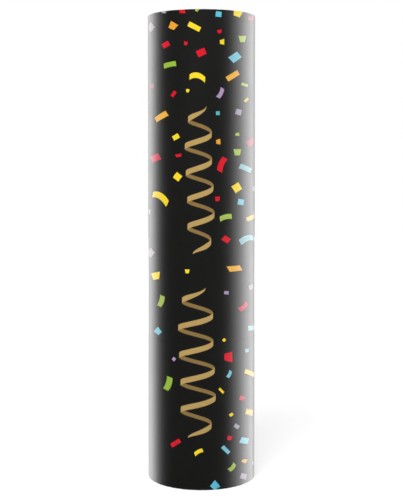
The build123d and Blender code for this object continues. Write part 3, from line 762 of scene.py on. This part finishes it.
def foil_cover():
    """The cup: inset rings and a raised bead in its floor, and a pleated wall drawn up from its rim."""
    bpy.ops.object.select_all(action="DESELECT")
    bpy.ops.mesh.primitive_circle_add(vertices=COVER_COLUMNS, radius=COVER_RADIUS, fill_type="NGON",
                                      location=(0, 0, COVER_FLOOR))
    cup = bpy.context.object
    cup.name = "foil_cover"
    bpy.ops.object.transform_apply(location=True)
    bpy.ops.object.mode_set(mode="EDIT")
    bpy.ops.mesh.select_mode(type="FACE")
    bpy.ops.mesh.select_all(action="SELECT")
    radius, rise = COVER_RADIUS / MM, 0.0
    for ring_radius, ring_rise in COVER_RINGS:
        bpy.ops.mesh.inset(thickness=(radius - ring_radius) * MM)
        bpy.ops.transform.translate(value=(0, 0, (ring_rise - rise) * MM))
        radius, rise = ring_radius, ring_rise
    bpy.ops.mesh.poke()
    bpy.ops.mesh.select_mode(type="EDGE")
    bpy.ops.mesh.select_all(action="DESELECT")
    bpy.ops.mesh.select_non_manifold(extend=False, use_wire=False, use_multi_face=False,
                                     use_non_contiguous=False, use_verts=False)
    radius, rise = COVER_RADIUS / MM, 0.0
    for wall_radius, wall_rise in COVER_STEPS:
        bpy.ops.mesh.extrude_region_move(TRANSFORM_OT_translate={"value": (0, 0, (wall_rise - rise) * MM)})
        share = wall_radius / radius
        bpy.ops.transform.resize(value=(share, share, 1), center_override=(0, 0, COVER_FLOOR))
        radius, rise = wall_radius, wall_rise
    bpy.ops.mesh.select_all(action="SELECT")
    bpy.ops.mesh.normals_make_consistent(inside=False)
    bpy.ops.mesh.select_mode(type="VERT")
    bpy.ops.mesh.select_all(action="DESELECT")
    bpy.ops.object.mode_set(mode="OBJECT")
    if max(cup.data.polygons, key=lambda face: -face.center.xy.length).normal.z < 0:
        cup.data.flip_normals()
    for vertex in cup.data.vertices:
        column = round(math.atan2(vertex.co.y, vertex.co.x) / (2 * math.pi) * COVER_COLUMNS)
        vertex.select = vertex.co.z > COVER_FLOOR + PLEAT_START and column % PLEAT_COLUMNS == 0
    bpy.ops.object.mode_set(mode="EDIT")
    share = 1 - PLEAT_DEPTH / COVER_WALL
    bpy.ops.transform.resize(value=(share, share, 1), center_override=(0, 0, COVER_FLOOR))
    bpy.ops.object.mode_set(mode="OBJECT")
    round_off = cup.modifiers.new("round_off", "SUBSURF")
    round_off.levels = round_off.render_levels = 1
    bpy.ops.object.modifier_apply(modifier="round_off")
    crumple = bpy.data.textures.new("crumple", "CLOUDS")
    crumple.noise_scale = CRUMPLE_SIZE
    crumple.noise_depth = CRUMPLE_DETAIL
    press = cup.modifiers.new("press", "DISPLACE")
    press.texture = crumple
    press.direction = "Z"
    press.strength = CRUMPLE_HEIGHT
    press.mid_level = CRUMPLE_LEVEL
    bpy.ops.object.modifier_apply(modifier="press")
    wall = cup.modifiers.new("foil", "SOLIDIFY")
    wall.thickness = FOIL_THICKNESS
    wall.offset = -1
    bpy.ops.object.modifier_apply(modifier="foil")
    bpy.ops.object.shade_smooth_by_angle(angle=COVER_SMOOTH)
    cup.data.materials.append(pressed_foil())
    return cup


cover = foil_cover()
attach(cover, "cover")
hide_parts("muzzle_cover")


# Charge: upright stacks of paper slips, a colour to each stack

SLIP_INKS = ("red", "orange", "yellow", "green", "blue", "lilac")
SLIP_SPACING = 0.6 * MM
SLIP_THICKNESS = 0.12 * MM
SLIP_MARGIN = 0.45 * MM
# How far a slip may slide, lift, turn and lean, and how far each one bows
SLIP_SLIDE = 0.45 * MM
SLIP_LIFT = 1.3 * MM
SLIP_TURN = math.radians(1.1)
SLIP_LEAN = 0.2 * MM
SLIP_BOW = 0.5 * MM
SLIP_CUTS = 5
SLIP_SMOOTH = math.radians(30)
SLIP_SEED = 5


def slip_stack(ink):
    """A stack of slips, each a little bowed, and slid, turned and leaning by its own small amount."""
    node = f"slips_{ink}"
    low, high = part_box(node)
    size = high - low
    middle = (low + high) / 2
    bpy.ops.object.select_all(action="DESELECT")
    bpy.ops.mesh.primitive_plane_add(size=1, rotation=(math.pi / 2, 0, 0),
                                     location=(middle.x, low.y + SLIP_MARGIN, middle.z))
    stack = bpy.context.object
    stack.name = f"slip_stack_{ink}"
    slip_width = size.x - 2 * SLIP_SLIDE - SLIP_TURN * size.z
    slip_height = size.z - 2 * SLIP_LIFT - SLIP_TURN * size.x
    stack.scale = (slip_width, slip_height, 1)
    bpy.ops.object.transform_apply(location=True, rotation=True, scale=True)
    bpy.ops.object.mode_set(mode="EDIT")
    bpy.ops.mesh.select_all(action="SELECT")
    bpy.ops.mesh.subdivide(number_cuts=SLIP_CUTS)
    bpy.ops.object.mode_set(mode="OBJECT")
    corners = len(stack.data.vertices)
    sheets = 1 + int((size.y - 2 * SLIP_MARGIN - SLIP_BOW - SLIP_THICKNESS) / SLIP_SPACING)
    pile = stack.modifiers.new("pile", "ARRAY")
    pile.count = sheets
    pile.use_relative_offset = False
    pile.use_constant_offset = True
    pile.constant_offset_displace = (0, SLIP_SPACING, 0)
    bpy.ops.object.modifier_apply(modifier="pile")
    draw = random.Random(SLIP_SEED)
    tone = stack.data.attributes.new("sheet", "FLOAT", "POINT")
    for number in range(sheets):
        slide, lift, turn, lean, shade = (draw.uniform(-1, 1) for _ in range(5))
        for vertex in stack.data.vertices[number * corners:(number + 1) * corners]:
            across, up = vertex.co.x - middle.x, vertex.co.z - middle.z
            side, end = 2 * across / size.x, 2 * up / size.z
            vertex.co.x += SLIP_SLIDE * slide - SLIP_TURN * turn * up
            vertex.co.y += SLIP_BOW * (1 - side * side) + SLIP_LEAN * lean * end
            vertex.co.z += SLIP_LIFT * lift + SLIP_TURN * turn * across
            tone.data[vertex.index].value = 0.5 + 0.5 * shade
    wall = stack.modifiers.new("paper", "SOLIDIFY")
    wall.thickness = SLIP_THICKNESS
    wall.offset = -1
    bpy.ops.object.modifier_apply(modifier="paper")
    bpy.ops.object.shade_smooth_by_angle(angle=SLIP_SMOOTH)
    stack.data.materials.append(dyed_paper(ink))
    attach(stack, "charge")
    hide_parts(node)


for slip_ink in SLIP_INKS:
    slip_stack(slip_ink)


# Stage: a pale floor, a white room, two softboxes, white cards that only the film mirrors, and the camera

WHITE = linear("#ffffff")
FLOOR_GREY = linear("#cbcbcb")
FLOOR_SIZE = 3.0
# The floor's own white near the object, and the distances over which it grows to full white
FLOOR_LIFT = 0.45
FLOOR_NEAR = 0.2
FLOOR_FAR = 0.7


def seen_ray(tree):
    """1 for a ray that shows the background itself: a camera, glossy or transmitted ray."""
    rays = add(tree, "ShaderNodeLightPath").outputs
    first = add(tree, "ShaderNodeMath", {0: rays["Is Camera Ray"], 1: rays["Is Glossy Ray"]},
                operation="MAXIMUM")
    return add(tree, "ShaderNodeMath", {0: first.outputs[0], 1: rays["Is Transmission Ray"]},
               operation="MAXIMUM").outputs[0]


def pale_floor():
    """Matt white studio board. It shows as white, and darkens only in the object's shadow. Its own white
    grows away from the object, so that the board has no edge."""
    material = bpy.data.materials.new("studio_board")
    material.use_nodes = True
    tree = material.node_tree
    tree.nodes.remove(tree.nodes["Principled BSDF"])
    board = add(tree, "ShaderNodeBsdfDiffuse", {"Color": FLOOR_GREY})
    place = add(tree, "ShaderNodeTexCoord").outputs["Object"]
    away = add(tree, "ShaderNodeVectorMath", {0: place}, operation="LENGTH")
    fade = add(tree, "ShaderNodeMapRange", {"Value": away.outputs["Value"], "From Min": FLOOR_NEAR,
                                            "From Max": FLOOR_FAR, "To Min": FLOOR_LIFT, "To Max": 1.0})
    lift = add(tree, "ShaderNodeMath", {0: seen_ray(tree), 1: fade.outputs[0]}, operation="MULTIPLY")
    glow = add(tree, "ShaderNodeEmission", {"Color": WHITE, "Strength": lift.outputs[0]})
    both = add(tree, "ShaderNodeAddShader", {0: board.outputs[0], 1: glow.outputs[0]})
    feed(tree, tree.nodes["Material Output"], {"Surface": both.outputs[0]})
    return material


bpy.ops.object.select_all(action="DESELECT")
bpy.ops.mesh.primitive_plane_add(size=FLOOR_SIZE, location=(0, 0, 0))
floor = bpy.context.object
floor.name = "floor"
bpy.ops.object.transform_apply(location=True, rotation=True, scale=True)
floor.data.materials.append(pale_floor())
# The film mirrors the cards down to its foot, and not the floor.
floor.visible_glossy = False
floor.visible_shadow = False

# For the film the room is dim on the viewer's side and grows white towards the back, where it is fully white
# from this share of the way on.
WORLD_FILL = 0.33
WORLD_FRONT = 0.03
WORLD_BACK = 1.0
WORLD_BACK_FROM = 0.7
world = bpy.data.worlds.new("studio")
bpy.context.scene.world = world
world.use_nodes = True
sky = world.node_tree
sky_rays = add(sky, "ShaderNodeLightPath").outputs
sky_way = add(sky, "ShaderNodeSeparateXYZ", {"Vector": add(sky, "ShaderNodeTexCoord").outputs["Generated"]})
sky_shine = add(sky, "ShaderNodeMapRange", {"Value": sky_way.outputs["Y"], "From Min": 0.0,
                                            "From Max": WORLD_BACK_FROM, "To Min": WORLD_FRONT,
                                            "To Max": WORLD_BACK})
sky_light = add(sky, "ShaderNodeMix", {FACTOR: sky_rays["Is Glossy Ray"], NUMBER_A: WORLD_FILL,
                                       NUMBER_B: sky_shine.outputs[0]}, data_type="FLOAT")
sky_seen = add(sky, "ShaderNodeMath", {0: sky_rays["Is Camera Ray"], 1: sky_rays["Is Transmission Ray"]},
               operation="MAXIMUM")
sky_strength = add(sky, "ShaderNodeMix", {FACTOR: sky_seen.outputs[0], NUMBER_A: sky_light.outputs[0],
                                          NUMBER_B: 1.0}, data_type="FLOAT")
feed(sky, sky.nodes["Background"], {"Color": WHITE, "Strength": sky_strength.outputs[0]})


def softbox(name, place, target, size, watts, lights=True, shines=True):
    """A soft rectangular lamp that faces a target and isn't seen itself. It lights colours, shines in glossy
    surfaces, or does both."""
    bpy.ops.object.select_all(action="DESELECT")
    bpy.ops.object.light_add(type="AREA", location=place)
    lamp = bpy.context.object
    lamp.name = name
    lamp.data.shape = "RECTANGLE"
    lamp.data.size, lamp.data.size_y = size
    lamp.data.energy = watts
    lamp.rotation_euler = (Vector(target) - Vector(place)).to_track_quat("-Z", "Y").to_euler()
    lamp.visible_camera = False
    lamp.visible_diffuse = lights
    lamp.visible_glossy = shines


# Places and sizes in metres. The back softbox lights the colours from behind, and doesn't shine in the film.
TUBE_MIDDLE = (0, 0, TUBE_TOP / 2)
KEY_PLACE, KEY_SIZE, KEY_WATTS = (-0.14, -0.8, 1.2), (0.9, 0.7), 18.5
BACK_PLACE, BACK_SIZE, BACK_WATTS = (0, 1.1, 1.2), (1.6, 1.4), 8.0
softbox("key_softbox", KEY_PLACE, TUBE_MIDDLE, KEY_SIZE, KEY_WATTS)
softbox("back_softbox", BACK_PLACE, TUBE_MIDDLE, BACK_SIZE, BACK_WATTS, shines=False)

# White cards round the tube, which the film mirrors: angle from the viewer's side in degrees, and watts
CARDS = [(60, 0.2), (75, 1.9), (90, 3.5), (105, 5.2), (120, 4.4), (135, 3.4), (150, 0.6),
         (-90, 0.1), (-105, 0.9), (-120, 2.6), (-135, 2.5), (-150, 1.4)]
CARD_DISTANCE = 0.7
CARD_SIZE = (0.2, 1.6)
CARD_MIDDLE = (0, 0, 0.3)
for card_angle, card_watts in CARDS:
    card_turn = math.radians(card_angle)
    card_place = (CARD_DISTANCE * math.sin(card_turn), -CARD_DISTANCE * math.cos(card_turn), CARD_MIDDLE[2])
    softbox(f"card_{card_angle}", card_place, CARD_MIDDLE, CARD_SIZE, card_watts, lights=False)

CAMERA_TILT = math.radians(2.05)
CAMERA_SHIFT = -0.096
CAMERA_LENS = 75.0
CAMERA_SENSOR = 36.0
bpy.ops.object.camera_add(location=(0, -EYE_DISTANCE, EYE_HEIGHT),
                          rotation=(math.pi / 2 - CAMERA_TILT, 0, 0))
camera = bpy.context.object
camera.data.lens = CAMERA_LENS
camera.data.sensor_width = CAMERA_SENSOR
camera.data.shift_y = CAMERA_SHIFT
scene = bpy.context.scene
scene.camera = camera
scene.view_settings.view_transform = "Standard"
